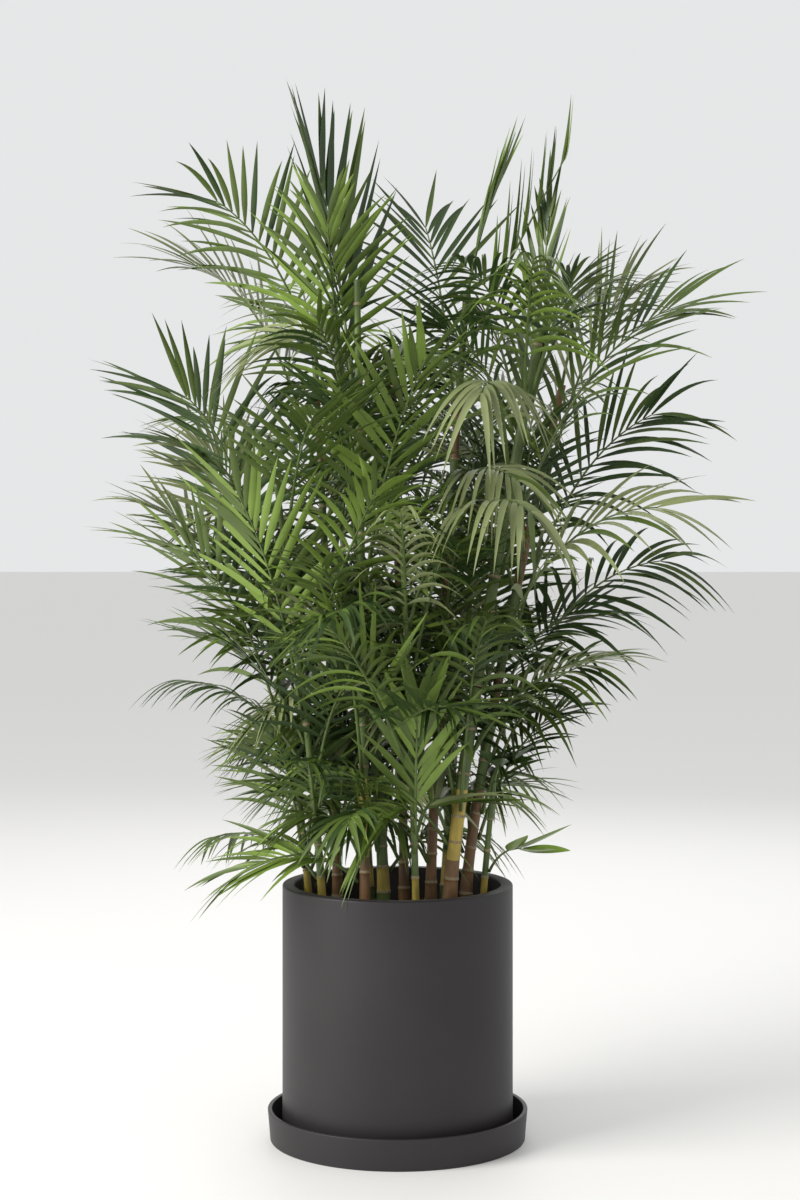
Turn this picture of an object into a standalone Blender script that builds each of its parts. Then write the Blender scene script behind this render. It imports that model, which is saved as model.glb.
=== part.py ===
"""A bamboo palm in a round matte pot on a saucer, at its real size in metres, +Z up.

The origin is on the pot's axis at the saucer's flat underside. Azimuths are degrees from +X towards +Y:
0 is the plant's right, 90 its back, 180 its left and 270 its front.
"""

import math
import random
from collections import namedtuple

import bpy
from mathutils import Matrix, Vector
from mathutils.bvhtree import BVHTree

# Touching pieces stand this far apart
GAP = 0.0003

# Pot, a straight cylinder of 36 cm
POT_RADIUS = 0.180
POT_WALL = 0.0185
POT_FLOOR = 0.020
POT_TOP = 0.397
POT_EDGE = 0.0030

# Saucer
SAUCER_RIM_RADIUS = 0.2028
SAUCER_BASE_RADIUS = 0.1990
SAUCER_WALL = 0.0068
SAUCER_FLOOR = 0.0120
SAUCER_TOP = 0.048
SAUCER_EDGE = 0.0015

# Potting soil, a plug with a low mound
SOIL_TOP = 0.352
SOIL_MOUND = 0.006
SOIL_SHOULDER = 0.94

TURNED_STEPS = 48
EDGE_STEPS = 2
AXIS_MERGE = 1e-5

# Canes: each leaves the soil upright, leans out more and more, tapers, and flares at its foot
CANE_SEGMENTS = 7
CANE_FOOT_SHARE = 0.10
CANE_UPRIGHT_SHARE = 0.03
CANE_LEAN_POWER = 1.25
CANE_TAPER = 0.35
CANE_FLARE = 0.25
CANE_FLARE_SHARE = 0.08
CANE_SIDES = 8

# Ribs: narrow strips, bare below the first leaflet, that keep clear of the canes and of one another
RIB_WIDTH = 0.0070
RIB_TIP_WIDTH = 0.0036
BARE_SHARE = 0.30
SHOOT_BARE_SHARE = 0.70
STALK_SEGMENTS = 3
CREST_SHARES = (0.35, 0.50, 0.65)
ROLL_FULL_SHARE = 0.5
SHARE_STEP = 0.01
RIB_RODS = 8
RIB_SAMPLES = 16
LEAN_ALLOWANCE = 1.04
RIB_CLEARANCE = 0.0060
RIB_TURNS = [0] + [sign * step for step in range(2, 91, 2) for sign in (1, -1)]

# Leaflets: as thick as a hundredth of the longest, and shortest at the blade's two ends
BLADE_THICKNESS = 0.0034
BLADE_CLEARANCE = 0.0005
LEAFLET_BASE = 0.0095
LEAFLET_BULGE_SHARE = 0.38
LEAFLET_END_LENGTH = 0.72
SWELL_AT_FOOT = 0.15
SWELL_PACE = 1.05
LENGTH_LOST = 0.06
LEAFLET_RISE = 14
OPENING_LOST = 0.62
STRAIGHT_DROOP = 0.25
LEAFLET_TILTS = (0, 6, -6, 12, -12, 18, -18, 25, -25)
LEAFLET_CUTS = (1.0, 0.8, 0.6, 0.45)

Cane = namedtuple("Cane", "foot top radius colour")
Frond = namedtuple("Frond", "cane height tip arch roll leaflet width opening droop pairs tint")

# Each cane: its foot (x, y) in the soil, its top (x, y, z), its radius at the foot and its colour
CANES = {
    "cane_01": Cane((-0.140, 0.010), (-0.245, 0.030, 1.08), 0.0058, "green"),
    "cane_02": Cane((-0.116, -0.055), (-0.185, -0.140, 1.02), 0.0065, "green"),
    "cane_03": Cane((-0.096, 0.070), (-0.140, 0.180, 1.28), 0.0078, "brown"),
    "cane_04": Cane((-0.050, -0.080), (-0.062, -0.120, 1.33), 0.0078, "yellow"),
    "cane_05": Cane((-0.022, 0.010), (-0.105, -0.020, 1.32), 0.0095, "green"),
    "cane_06": Cane((0.010, 0.095), (-0.010, 0.190, 1.26), 0.0078, "brown"),
    "cane_07": Cane((0.028, -0.105), (0.005, -0.185, 0.95), 0.0058, "green"),
    "cane_08": Cane((0.052, 0.015), (0.110, 0.000, 1.32), 0.0084, "brown"),
    "cane_09": Cane((0.080, -0.070), (0.225, -0.080, 1.26), 0.0110, "yellow"),
    "cane_10": Cane((0.108, 0.035), (0.270, 0.090, 1.18), 0.0092, "brown"),
    "cane_11": Cane((-0.045, 0.122), (-0.105, 0.300, 1.02), 0.0065, "green"),
    "cane_12": Cane((0.132, -0.030), (0.150, -0.045, 0.56), 0.0058, "green"),
    "cane_13": Cane((0.076, 0.105), (0.150, 0.270, 1.10), 0.0072, "green"),
}

# Each frond that shows from the front: its cane, the height where it leaves it, the tip of its rib,
# how far the rib arches above its chord, how far the blade rolls about it, the longest leaflet's length and
# width, how far the leaflets open at the blade's foot, how much they droop, the pairs and the tint
SHOWN_FRONDS = {
    "frond_left_1": Frond("cane_05", 1.04, (-0.275, -0.110, 1.450), 0.13, 26, 0.235, 0.012, 72, 0.10, 13, "mid"),
    "frond_left_2": Frond("cane_03", 1.04, (-0.315, 0.080, 1.365), 0.12, -26, 0.270, 0.010, 66, 0.14, 11, "pale"),
    "frond_left_3": Frond("cane_01", 0.82, (-0.325, -0.080, 1.155), 0.10, 22, 0.270, 0.012, 68, 0.10, 13, "dark"),
    "frond_left_4": Frond("cane_01", 0.70, (-0.310, 0.120, 1.045), 0.10, -30, 0.230, 0.010, 64, 0.12, 10, "pale"),
    "frond_left_5": Frond("cane_02", 0.66, (-0.235, -0.190, 1.000), 0.05, 20, 0.220, 0.015, 50, 0.04, 8, "fresh"),
    "frond_left_6": Frond("cane_01", 0.54, (-0.325, -0.080, 0.920), 0.12, 20, 0.275, 0.012, 68, 0.12, 12, "mid"),
    "frond_left_7": Frond("cane_03", 0.52, (-0.250, 0.020, 0.790), 0.10, -40, 0.220, 0.010, 66, 0.35, 9, "mid"),
    "frond_left_8": Frond("cane_01", 0.42, (-0.190, -0.060, 0.630), 0.05, 20, 0.180, 0.010, 66, 0.16, 9, "mid"),
    "frond_top_1": Frond("cane_04", 1.12, (-0.118, -0.060, 1.485), 0.03, 10, 0.310, 0.017, 34, 0.02, 8, "dark"),
    "frond_top_2": Frond("cane_05", 1.14, (-0.085, -0.160, 1.410), 0.05, 0, 0.200, 0.013, 50, 0.04, 10, "fresh"),
    "frond_top_3": Frond("cane_08", 1.12, (0.045, 0.140, 1.440), 0.05, 0, 0.220, 0.011, 60, 0.06, 9, "dark"),
    "frond_top_4": Frond("cane_08", 1.32, (0.155, 0.000, 1.481), 0.01, 0, 0.190, 0.014, 16, 0.00, 6, "fresh"),
    "frond_right_1": Frond("cane_08", 1.22, (0.256, -0.060, 1.519), -0.02, 0, 0.130, 0.016, 10, -2.50, 3, "fresh"),
    "frond_right_2": Frond("cane_09", 1.00, (0.235, -0.040, 1.435), 0.02, 20, 0.170, 0.012, 26, 0.00, 9, "mid"),
    "frond_right_3": Frond("cane_10", 0.96, (0.355, 0.060, 1.320), 0.10, 40, 0.260, 0.009, 52, 0.14, 11, "pale"),
    "frond_right_4": Frond("cane_09", 0.88, (0.410, -0.120, 1.285), 0.12, 40, 0.270, 0.011, 60, 0.16, 13, "mid"),
    "frond_right_5": Frond("cane_10", 0.76, (0.400, 0.010, 1.130), 0.12, 50, 0.260, 0.011, 64, 0.20, 12, "dark"),
    "frond_right_6": Frond("cane_09", 0.70, (0.385, -0.200, 0.985), 0.14, 30, 0.260, 0.014, 60, 0.30, 8, "pale"),
    "frond_right_7": Frond("cane_10", 0.58, (0.415, 0.030, 0.900), 0.14, 45, 0.230, 0.011, 64, 0.45, 10, "dark"),
    "frond_right_8": Frond("cane_10", 0.50, (0.290, -0.040, 0.740), 0.09, 50, 0.190, 0.010, 70, 0.45, 9, "mid"),
    "frond_front_1": Frond("cane_09", 1.02, (0.120, -0.300, 1.150), 0.14, 0, 0.220, 0.013, 60, 0.90, 8, "pale"),
    "frond_front_2": Frond("cane_08", 0.82, (0.190, -0.320, 0.980), 0.15, 0, 0.230, 0.013, 60, 0.90, 8, "pale"),
    "frond_front_3": Frond("cane_04", 0.86, (0.040, -0.240, 1.200), 0.05, 0, 0.230, 0.014, 56, 0.08, 10, "fresh"),
    "frond_front_4": Frond("cane_05", 0.80, (-0.090, -0.230, 1.150), 0.07, 0, 0.230, 0.011, 66, 0.20, 10, "dark"),
    "frond_front_5": Frond("cane_04", 0.58, (-0.110, -0.280, 0.900), 0.10, 0, 0.220, 0.011, 66, 0.40, 9, "mid"),
    "frond_front_6": Frond("cane_07", 0.46, (0.030, -0.180, 0.690), 0.03, 0, 0.180, 0.016, 40, 0.04, 7, "fresh"),
    "frond_front_7": Frond("cane_09", 0.52, (0.130, -0.260, 0.820), 0.10, 0, 0.210, 0.012, 64, 0.60, 8, "mid"),
    "frond_shoot_1": Frond("cane_12", 0.42, (0.190, -0.080, 0.462), 0.02, 0, 0.130, 0.018, 30, 0.02, 2, "fresh"),
    "frond_shoot_2": Frond("cane_12", 0.56, (0.160, -0.070, 0.590), 0.01, 0, 0.110, 0.018, 40, 0.04, 2, "dark"),
}

# The fronds behind follow one another round their canes by the golden angle
BACK_CANES = ("cane_06", "cane_13", "cane_03", "cane_11", "cane_10")
BACK_FRONDS = 15
BACK_AZIMUTHS = (12, 168)
GOLDEN_TURN = 137.5
BACK_LOWEST = 0.56
BACK_BELOW_TOP = 0.05
BACK_REACH = (0.18, 0.25)
BACK_RISE = (0.22, 0.32)
BACK_RISE_LOST = 0.30
BACK_ARCH = 0.10
BACK_ROLL = 30
BACK_DROOP = (0.10, 0.40)
BACK_LEAFLET = (0.220, 0.011)
BACK_OPENING = 66
BACK_PAIRS = 9
BACK_SEED = 7

LEAF_COLOURS = {
    "dark": (0.020, 0.055, 0.014),
    "mid": (0.045, 0.105, 0.024),
    "fresh": (0.110, 0.230, 0.018),
    "pale": (0.170, 0.240, 0.130),
}
CANE_COLOURS = {
    "green": (0.100, 0.150, 0.030),
    "yellow": (0.330, 0.260, 0.050),
    "brown": (0.110, 0.060, 0.025),
}
POT_COLOUR = (0.058, 0.052, 0.056)
SOIL_COLOUR = (0.020, 0.014, 0.010)
POT_ROUGHNESS = 0.75
SOIL_ROUGHNESS = 0.95
CANE_ROUGHNESS = 0.50
LEAF_ROUGHNESS = 0.45


def clear_scene():
    for obj in list(bpy.data.objects):
        bpy.data.objects.remove(obj, do_unlink=True)


def new_collection(name):
    collection = bpy.data.collections.new(name)
    bpy.context.scene.collection.children.link(collection)
    return collection


def material(name, colour, roughness):
    made = bpy.data.materials.new(name)
    made.use_nodes = True
    shader = made.node_tree.nodes["Principled BSDF"]
    shader.inputs["Base Color"].default_value = (*colour, 1)
    shader.inputs["Roughness"].default_value = roughness
    shader.inputs["Metallic"].default_value = 0
    return made


def rounded_corner(radius, height, start, edge):
    """Points (radius, height) a quarter turn round a corner, from a starting angle in degrees."""
    points = []
    for step in range(EDGE_STEPS + 1):
        angle = math.radians(start - 90 * step / EDGE_STEPS)
        points.append((radius + edge * math.cos(angle), height + edge * math.sin(angle)))
    return points


def turned(name, profile, finish, collection):
    """A body turned from a profile of (radius, height) that starts and ends on the axis."""
    mesh = bpy.data.meshes.new(name)
    vertices = [(radius, 0, height) for radius, height in profile]
    mesh.from_pydata(vertices, [(i, i + 1) for i in range(len(profile) - 1)], [])
    mesh.materials.append(finish)
    body = bpy.data.objects.new(name, mesh)
    collection.objects.link(body)
    screw = body.modifiers.new("Turn", "SCREW")
    screw.steps = TURNED_STEPS
    screw.render_steps = TURNED_STEPS
    screw.use_merge_vertices = True
    screw.merge_threshold = AXIS_MERGE
    screw.use_smooth_shade = True
    return body


def make_pot(collection):
    bottom = SAUCER_FLOOR + GAP
    inner = POT_RADIUS - POT_WALL
    edge = POT_EDGE
    profile = [(0, bottom + POT_FLOOR), (inner, bottom + POT_FLOOR)]
    profile += rounded_corner(inner + edge, POT_TOP - edge, 180, edge)
    profile += rounded_corner(POT_RADIUS - edge, POT_TOP - edge, 90, edge)
    profile += rounded_corner(POT_RADIUS - edge, bottom + edge, 0, edge)
    profile += [(0, bottom)]
    return turned("pot", profile, material("pot_matte", POT_COLOUR, POT_ROUGHNESS), collection)


def make_saucer(collection):
    edge = SAUCER_EDGE
    inner_rim = SAUCER_RIM_RADIUS - SAUCER_WALL
    inner_base = SAUCER_BASE_RADIUS - SAUCER_WALL
    profile = [(0, SAUCER_FLOOR), (inner_base, SAUCER_FLOOR)]
    profile += rounded_corner(inner_rim + edge, SAUCER_TOP - edge, 180, edge)
    profile += rounded_corner(SAUCER_RIM_RADIUS - edge, SAUCER_TOP - edge, 90, edge)
    profile += rounded_corner(SAUCER_BASE_RADIUS - edge, edge, 0, edge)
    profile += [(0, 0)]
    return turned("saucer", profile, material("saucer_matte", POT_COLOUR, POT_ROUGHNESS), collection)


def make_soil(collection):
    radius = POT_RADIUS - POT_WALL - GAP
    bottom = SAUCER_FLOOR + POT_FLOOR + 2 * GAP
    top = SOIL_TOP - GAP
    profile = [(0, top), (radius * SOIL_SHOULDER, top), (radius, top - SOIL_MOUND), (radius, bottom), (0, bottom)]
    return turned("soil", profile, material("soil_dark", SOIL_COLOUR, SOIL_ROUGHNESS), collection)


def cane_share(cane, height):
    return (height - SOIL_TOP) / (cane.top[2] - SOIL_TOP)


def cane_centre(cane, height):
    lean = max(0.0, cane_share(cane, height) - CANE_UPRIGHT_SHARE) ** CANE_LEAN_POWER
    x = cane.foot[0] + (cane.top[0] - cane.foot[0]) * lean
    y = cane.foot[1] + (cane.top[1] - cane.foot[1]) * lean
    return Vector((x, y, height))


def cane_radius(cane, height):
    share = cane_share(cane, height)
    flare = CANE_FLARE * max(0.0, 1 - share / CANE_FLARE_SHARE)
    return cane.radius * (1 - CANE_TAPER * share + flare)


def cane_heights(cane):
    """Where the cane has its cross-sections: at the soil, above the flare, and evenly from there up."""
    count = CANE_SEGMENTS - 2
    shares = [0, CANE_UPRIGHT_SHARE]
    shares += [CANE_FOOT_SHARE + (1 - CANE_FOOT_SHARE) * i / count for i in range(count + 1)]
    return [SOIL_TOP + (cane.top[2] - SOIL_TOP) * share for share in shares]


def cane_rods(cane):
    heights = cane_heights(cane)
    points = [cane_centre(cane, height) for height in heights]
    radii = [cane_radius(cane, height) for height in heights]
    return [(a, b, max(r, s)) for a, b, r, s in zip(points, points[1:], radii, radii[1:])]


def make_cane(name, cane, finish, collection):
    curve = bpy.data.curves.new(name, "CURVE")
    curve.dimensions = "3D"
    curve.bevel_depth = 1.0
    curve.bevel_resolution = 2
    curve.use_fill_caps = True
    heights = cane_heights(cane)
    spline = curve.splines.new("POLY")
    spline.points.add(len(heights) - 1)
    for point, height in zip(spline.points, heights):
        point.co = (*cane_centre(cane, height), 1)
        point.radius = cane_radius(cane, height)
    curve.materials.append(finish)
    body = bpy.data.objects.new(name, curve)
    collection.objects.link(body)
    return body


def back_fronds():
    """Fronds behind the canes, so that the crown is full on all sides."""
    draw = random.Random(BACK_SEED)
    low, high = BACK_AZIMUTHS
    fronds = {}
    for index in range(BACK_FRONDS):
        name = BACK_CANES[index % len(BACK_CANES)]
        cane = CANES[name]
        share = index / (BACK_FRONDS - 1)
        height = BACK_LOWEST + (cane.top[2] - BACK_BELOW_TOP - BACK_LOWEST) * share
        azimuth = math.radians(low + (GOLDEN_TURN * index) % (high - low))
        out = Vector((math.cos(azimuth), math.sin(azimuth), 0)) * draw.uniform(*BACK_REACH)
        tip = cane_centre(cane, height) + out
        tip.z += draw.uniform(*BACK_RISE) * (1 - BACK_RISE_LOST * share)
        roll = draw.uniform(-BACK_ROLL, BACK_ROLL)
        droop = draw.uniform(*BACK_DROOP)
        tint = draw.choice(("dark", "mid", "mid"))
        fronds[f"frond_back_{index + 1}"] = Frond(
            name, height, tuple(tip), BACK_ARCH, roll, *BACK_LEAFLET, BACK_OPENING, droop, BACK_PAIRS, tint
        )
    return fronds


def beside_cane(cane, height):
    """How far from a cane's centre, level, a rib stands just clear of it."""
    return (cane_radius(cane, height) + BLADE_THICKNESS / 2) * LEAN_ALLOWANCE + GAP


def rib_foot(frond, azimuth):
    """The rib's foot: beside its cane, towards an azimuth in radians, or on top of it."""
    cane = CANES[frond.cane]
    if frond.height >= cane.top[2]:
        return Vector(cane.top) + Vector((0, 0, GAP + BLADE_THICKNESS / 2))
    out = Vector((math.cos(azimuth), math.sin(azimuth), 0))
    return cane_centre(cane, frond.height) + out * beside_cane(cane, frond.height)


def rib_curve(frond, turn, crest_share):
    """The rib as a function of its share from foot to tip, with the tip turned round the cane by an angle.

    The crest share says how far out from the foot the rib's bend stands.
    """
    centre = cane_centre(CANES[frond.cane], frond.height)
    out = Matrix.Rotation(turn, 3, "Z") @ (Vector(frond.tip) - centre)
    foot = rib_foot(frond, math.atan2(out.y, out.x))
    tip = centre + out
    crest = foot.lerp(tip, crest_share)
    crest.z = (foot.z + tip.z) / 2 + frond.arch

    def at(share):
        return foot * (1 - share) ** 2 + crest * 2 * share * (1 - share) + tip * share**2

    return at


def segment_distance(a, b, c, d):
    """The least distance between the segments ab and cd."""
    u, v, w = b - a, d - c, a - c
    uu, uv, vv, uw, vw = u.dot(u), u.dot(v), v.dot(v), u.dot(w), v.dot(w)
    det = uu * vv - uv * uv
    s = min(1.0, max(0.0, (uv * vw - vv * uw) / det)) if det > 1e-12 else 0.0
    t = min(1.0, max(0.0, (uv * s + vw) / vv))
    s = min(1.0, max(0.0, (uv * t - uw) / uu))
    return (a + u * s - c - v * t).length


def rib_rods(curve):
    points = [curve(i / RIB_RODS) for i in range(RIB_RODS + 1)]
    return list(zip(points, points[1:]))


def leaves_its_cane(cane, curve):
    """Whether a rib stays outside the cane that it grows from, by more and more as it rolls."""
    for index in range(1, RIB_SAMPLES + 1):
        share = index / RIB_SAMPLES
        point = curve(share)
        if point.z < cane.top[2]:
            away = point - cane_centre(cane, point.z)
            if away.length < beside_cane(cane, point.z) + share * RIB_WIDTH / 2:
                return False
    return True


def rib_is_clear(frond, curve, ribs):
    if not leaves_its_cane(CANES[frond.cane], curve):
        return False
    rods = rib_rods(curve)
    for name, cane in CANES.items():
        if name == frond.cane:
            continue
        for a, b in rods:
            for c, d, radius in cane_rods(cane):
                if segment_distance(a, b, c, d) < radius + RIB_CLEARANCE:
                    return False
    for other in ribs:
        for a, b in rods:
            for c, d in other:
                if segment_distance(a, b, c, d) < 2 * RIB_CLEARANCE:
                    return False
    return True


def clear_rib(frond, ribs):
    """The rib, turned round its cane by as little as keeps it clear of the canes and of the ribs before it."""
    for turn in RIB_TURNS:
        for crest_share in CREST_SHARES:
            curve = rib_curve(frond, math.radians(turn), crest_share)
            if rib_is_clear(frond, curve, ribs):
                return curve
    raise ValueError(f"no clear way for the rib on {frond.cane} at {frond.height}")


def place_ribs(fronds):
    curves, ribs = {}, []
    for name, frond in fronds.items():
        curves[name] = clear_rib(frond, ribs)
        ribs.append(rib_rods(curves[name]))
    return curves


def blade_frame(frond, curve, share):
    """The rib's direction, the way to its left and the blade's upper side, rolled about the rib."""
    low, high = max(0.0, share - SHARE_STEP), min(1.0, share + SHARE_STEP)
    along = (curve(high) - curve(low)).normalized()
    chord = curve(1) - curve(0)
    left = Vector((-chord.y, chord.x, 0)).normalized()
    roll = frond.roll * min(1.0, share / ROLL_FULL_SHARE)
    left.rotate(Matrix.Rotation(math.radians(roll), 3, along))
    return along, left, along.cross(left).normalized()


class Blade:
    """A frond's rib as a strip of cross-sections, with the places where its leaflets sit."""

    def __init__(self, frond, curve):
        self.frond = frond
        self.curve = curve
        self.shares = []
        self.bases = []
        self.lay_out()
        self.edges = [self.edge_points(share) for share in self.shares]

    def lay_out(self):
        """Cross-sections along the bare stalk, then two for each pair of leaflets."""
        pairs = self.frond.pairs
        bare = BARE_SHARE if pairs > 2 else SHOOT_BARE_SHARE
        base = LEAFLET_BASE / (self.curve(1) - self.curve(0)).length
        self.shares = [bare * i / STALK_SEGMENTS for i in range(STALK_SEGMENTS)]
        for pair in range(pairs):
            start = bare + (1 - bare - base) * pair / (pairs - 1)
            self.bases.append(len(self.shares))
            self.shares += [start, start + base]

    def edge_points(self, share):
        _, left, _ = blade_frame(self.frond, self.curve, share)
        half = left * (RIB_WIDTH + (RIB_TIP_WIDTH - RIB_WIDTH) * share) / 2
        return self.curve(share) + half, self.curve(share) - half

    def leaflet(self, pair, side, tilt, cut):
        """A leaflet's outline as points going round it from the rib, and its upper side."""
        frond = self.frond
        first = self.bases[pair]
        place = pair / (frond.pairs - 1)
        share = (self.shares[first] + self.shares[first + 1]) / 2
        along, left, up = blade_frame(frond, self.curve, share)
        opening = math.radians(frond.opening * (1 - OPENING_LOST * place))
        rise = math.radians(LEAFLET_RISE + tilt)
        out = left if side == 0 else -left
        way = along * math.cos(opening) + (out * math.cos(rise) + up * math.sin(rise)) * math.sin(opening)
        width = (along - way * along.dot(way)).normalized() * frond.width / 2
        length = leaflet_length(frond, place) * cut / math.sqrt(1 + frond.droop**2)
        outline = [self.edges[first][side], self.edges[first + 1][side]]
        foot = (outline[0] + outline[1]) / 2

        def at(reach):
            return foot + (way * reach - Vector((0, 0, frond.droop)) * reach**2) * length

        if abs(frond.droop) > STRAIGHT_DROOP:
            bulge = at(LEAFLET_BULGE_SHARE)
            outline += [bulge + width, at(1), bulge - width]
        else:
            outline += [at(1)]
        return outline, way.cross(width).normalized()


def leaflet_length(frond, place):
    """Leaflets are longest a third of the way up the blade and shorter at both its ends."""
    swell = math.sin(math.pi * min(1.0, SWELL_AT_FOOT + SWELL_PACE * place))
    return frond.leaflet * (LEAFLET_END_LENGTH + (1 - LEAFLET_END_LENGTH) * swell - LENGTH_LOST * place)


class Obstacles:
    """What is already in place, as loose polygons."""

    def __init__(self):
        self.vertices = []
        self.faces = []

    def add(self, vertices, faces):
        first = len(self.vertices)
        self.vertices += vertices
        self.faces += [[first + i for i in face] for face in faces]

    def add_all(self, other):
        self.add(other.vertices, other.faces)

    def tree(self):
        return BVHTree.FromPolygons(self.vertices, self.faces)


def slab(outline, normal):
    """The vertices and faces of a closed slab round a flat outline, with the clearance that it keeps."""
    half = normal * (BLADE_THICKNESS / 2 + BLADE_CLEARANCE)
    count = len(outline)
    vertices = [p + half for p in outline] + [p - half for p in outline]
    faces = [list(range(count)), list(range(2 * count - 1, count - 1, -1))]
    faces += [[i, (i + 1) % count, (i + 1) % count + count, i + count] for i in range(count)]
    return vertices, faces


def cane_obstacles():
    obstacles = Obstacles()
    for cane in CANES.values():
        for a, b, radius in cane_rods(cane):
            across = (b - a).orthogonal().normalized() * radius
            turns = [Matrix.Rotation(math.tau * i / CANE_SIDES, 3, b - a) @ across for i in range(CANE_SIDES)]
            for start, end in zip(turns, turns[1:] + turns[:1]):
                obstacles.add([a + start, a + end, b + end, b + start], [[0, 1, 2, 3]])
    return obstacles


def rib_obstacles(blade):
    obstacles = Obstacles()
    for (a, b), (c, d) in zip(blade.edges, blade.edges[1:]):
        obstacles.add(*slab([a, b, d, c], (b - a).cross(c - a).normalized()))
    return obstacles


def clear_leaflet(blade, pair, side, tree):
    """The leaflet's outline, tilted or shortened by as little as keeps it clear, and the slab it takes up."""
    for cut in LEAFLET_CUTS:
        for tilt in LEAFLET_TILTS:
            outline, normal = blade.leaflet(pair, side, tilt, cut)
            taken = slab(outline, normal)
            if not BVHTree.FromPolygons(*taken).overlap(tree):
                return outline, taken
    return None, None


def make_frond(name, blade, leaflets, finish, collection):
    """One surface of the rib and its leaflets, with Solidify."""
    vertices = [point for pair in blade.edges for point in pair]
    faces = [[2 * i, 2 * i + 1, 2 * i + 3, 2 * i + 2] for i in range(len(blade.edges) - 1)]
    for (pair, side), outline in leaflets.items():
        first = blade.bases[pair]
        loop = [2 * first + side, 2 * first + 2 + side]
        loop += range(len(vertices), len(vertices) + len(outline) - 2)
        vertices += outline[2:]
        parts = [loop]
        if len(loop) == 5:
            parts = [[loop[0], loop[1], loop[2], loop[4]], [loop[4], loop[2], loop[3]]]
        faces += parts if side == 0 else [part[::-1] for part in parts]
    mesh = bpy.data.meshes.new(name)
    mesh.from_pydata(vertices, [], faces)
    mesh.materials.append(finish)
    body = bpy.data.objects.new(name, mesh)
    collection.objects.link(body)
    solidify = body.modifiers.new("Thickness", "SOLIDIFY")
    solidify.thickness = BLADE_THICKNESS
    solidify.offset = 0
    return body


def make_canes(collection):
    finishes = {name: material(f"cane_{name}", colour, CANE_ROUGHNESS) for name, colour in CANE_COLOURS.items()}
    for name, cane in CANES.items():
        make_cane(name, cane, finishes[cane.colour], collection)


def make_fronds(collection):
    """Each frond in turn; a leaflet that can't be kept clear of the canes and the other fronds is left out."""
    finishes = {name: material(f"leaf_{name}", colour, LEAF_ROUGHNESS) for name, colour in LEAF_COLOURS.items()}
    fronds = {**SHOWN_FRONDS, **back_fronds()}
    blades = {name: Blade(fronds[name], curve) for name, curve in place_ribs(fronds).items()}
    ribs = {name: rib_obstacles(blade) for name, blade in blades.items()}
    placed = cane_obstacles()
    for name, blade in blades.items():
        others = Obstacles()
        others.add_all(placed)
        for other, rib in ribs.items():
            if other != name:
                others.add_all(rib)
        tree = others.tree()
        leaflets = {}
        for pair in range(blade.frond.pairs):
            for side in (0, 1):
                outline, taken = clear_leaflet(blade, pair, side, tree)
                if outline:
                    leaflets[pair, side] = outline
                    placed.add(*taken)
        make_frond(name, blade, leaflets, finishes[blade.frond.tint], collection)


def main():
    clear_scene()
    collection = new_collection("potted_bamboo_palm")
    make_saucer(collection)
    make_pot(collection)
    make_soil(collection)
    make_canes(collection)
    make_fronds(collection)


main()
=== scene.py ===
"""The looks of the potted bamboo palm: ringed canes, ribs and fine leaflets in place of the plain blades.

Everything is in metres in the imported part's frame. The fronds follow the part's own rule, carried to more
and finer leaflets, with more fronds inside the same reach.
"""

import math
import random
from collections import namedtuple

import bmesh
import bpy
from mathutils import Matrix, Vector, noise
from mathutils.bvhtree import BVHTree

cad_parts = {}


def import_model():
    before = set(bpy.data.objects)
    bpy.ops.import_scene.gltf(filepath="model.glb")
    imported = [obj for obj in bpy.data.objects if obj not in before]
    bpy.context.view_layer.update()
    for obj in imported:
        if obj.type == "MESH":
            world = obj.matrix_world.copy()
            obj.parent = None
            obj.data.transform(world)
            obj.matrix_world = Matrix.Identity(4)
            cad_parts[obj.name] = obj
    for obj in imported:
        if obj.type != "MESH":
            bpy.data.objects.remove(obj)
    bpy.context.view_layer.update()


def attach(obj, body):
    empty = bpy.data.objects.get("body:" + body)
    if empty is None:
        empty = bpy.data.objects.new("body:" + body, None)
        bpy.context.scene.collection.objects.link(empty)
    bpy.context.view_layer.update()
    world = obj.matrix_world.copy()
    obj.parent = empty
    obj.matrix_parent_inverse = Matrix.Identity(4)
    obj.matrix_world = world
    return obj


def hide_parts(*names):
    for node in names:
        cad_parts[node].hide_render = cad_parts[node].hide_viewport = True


# Pot, saucer and soil, as the part has them
GAP = 0.0003
POT_RADIUS = 0.180
POT_WALL = 0.0185
POT_FLOOR = 0.020
POT_TOP = 0.397
POT_EDGE = 0.0030
SAUCER_RIM_RADIUS = 0.2028
SAUCER_BASE_RADIUS = 0.1990
SAUCER_WALL = 0.0068
SAUCER_FLOOR = 0.0120
SAUCER_TOP = 0.048
SAUCER_EDGE = 0.0015
SOIL_TOP = 0.352
SOIL_MOUND = 0.006
SOIL_RADIUS = POT_RADIUS - POT_WALL - GAP

# How finely the turned bodies are made
TURNED_STEPS = 160
EDGE_STEPS = 6
AXIS_MERGE = 1e-5
SHARP_ANGLE = 35

# The soil's crumbly surface, a little below the plug's top
SOIL_RINGS = 44
SOIL_SIDES = 120
SOIL_INNERMOST = 0.0005
SOIL_SUNK = 0.002
SOIL_SKIRT = 0.05
MOUND_POWER = 4
CRUMB_SCALE = 55
CRUMB_HEIGHT = 0.0022
CRUMB_NOISE = (0.8, 2.1, 5)

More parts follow.
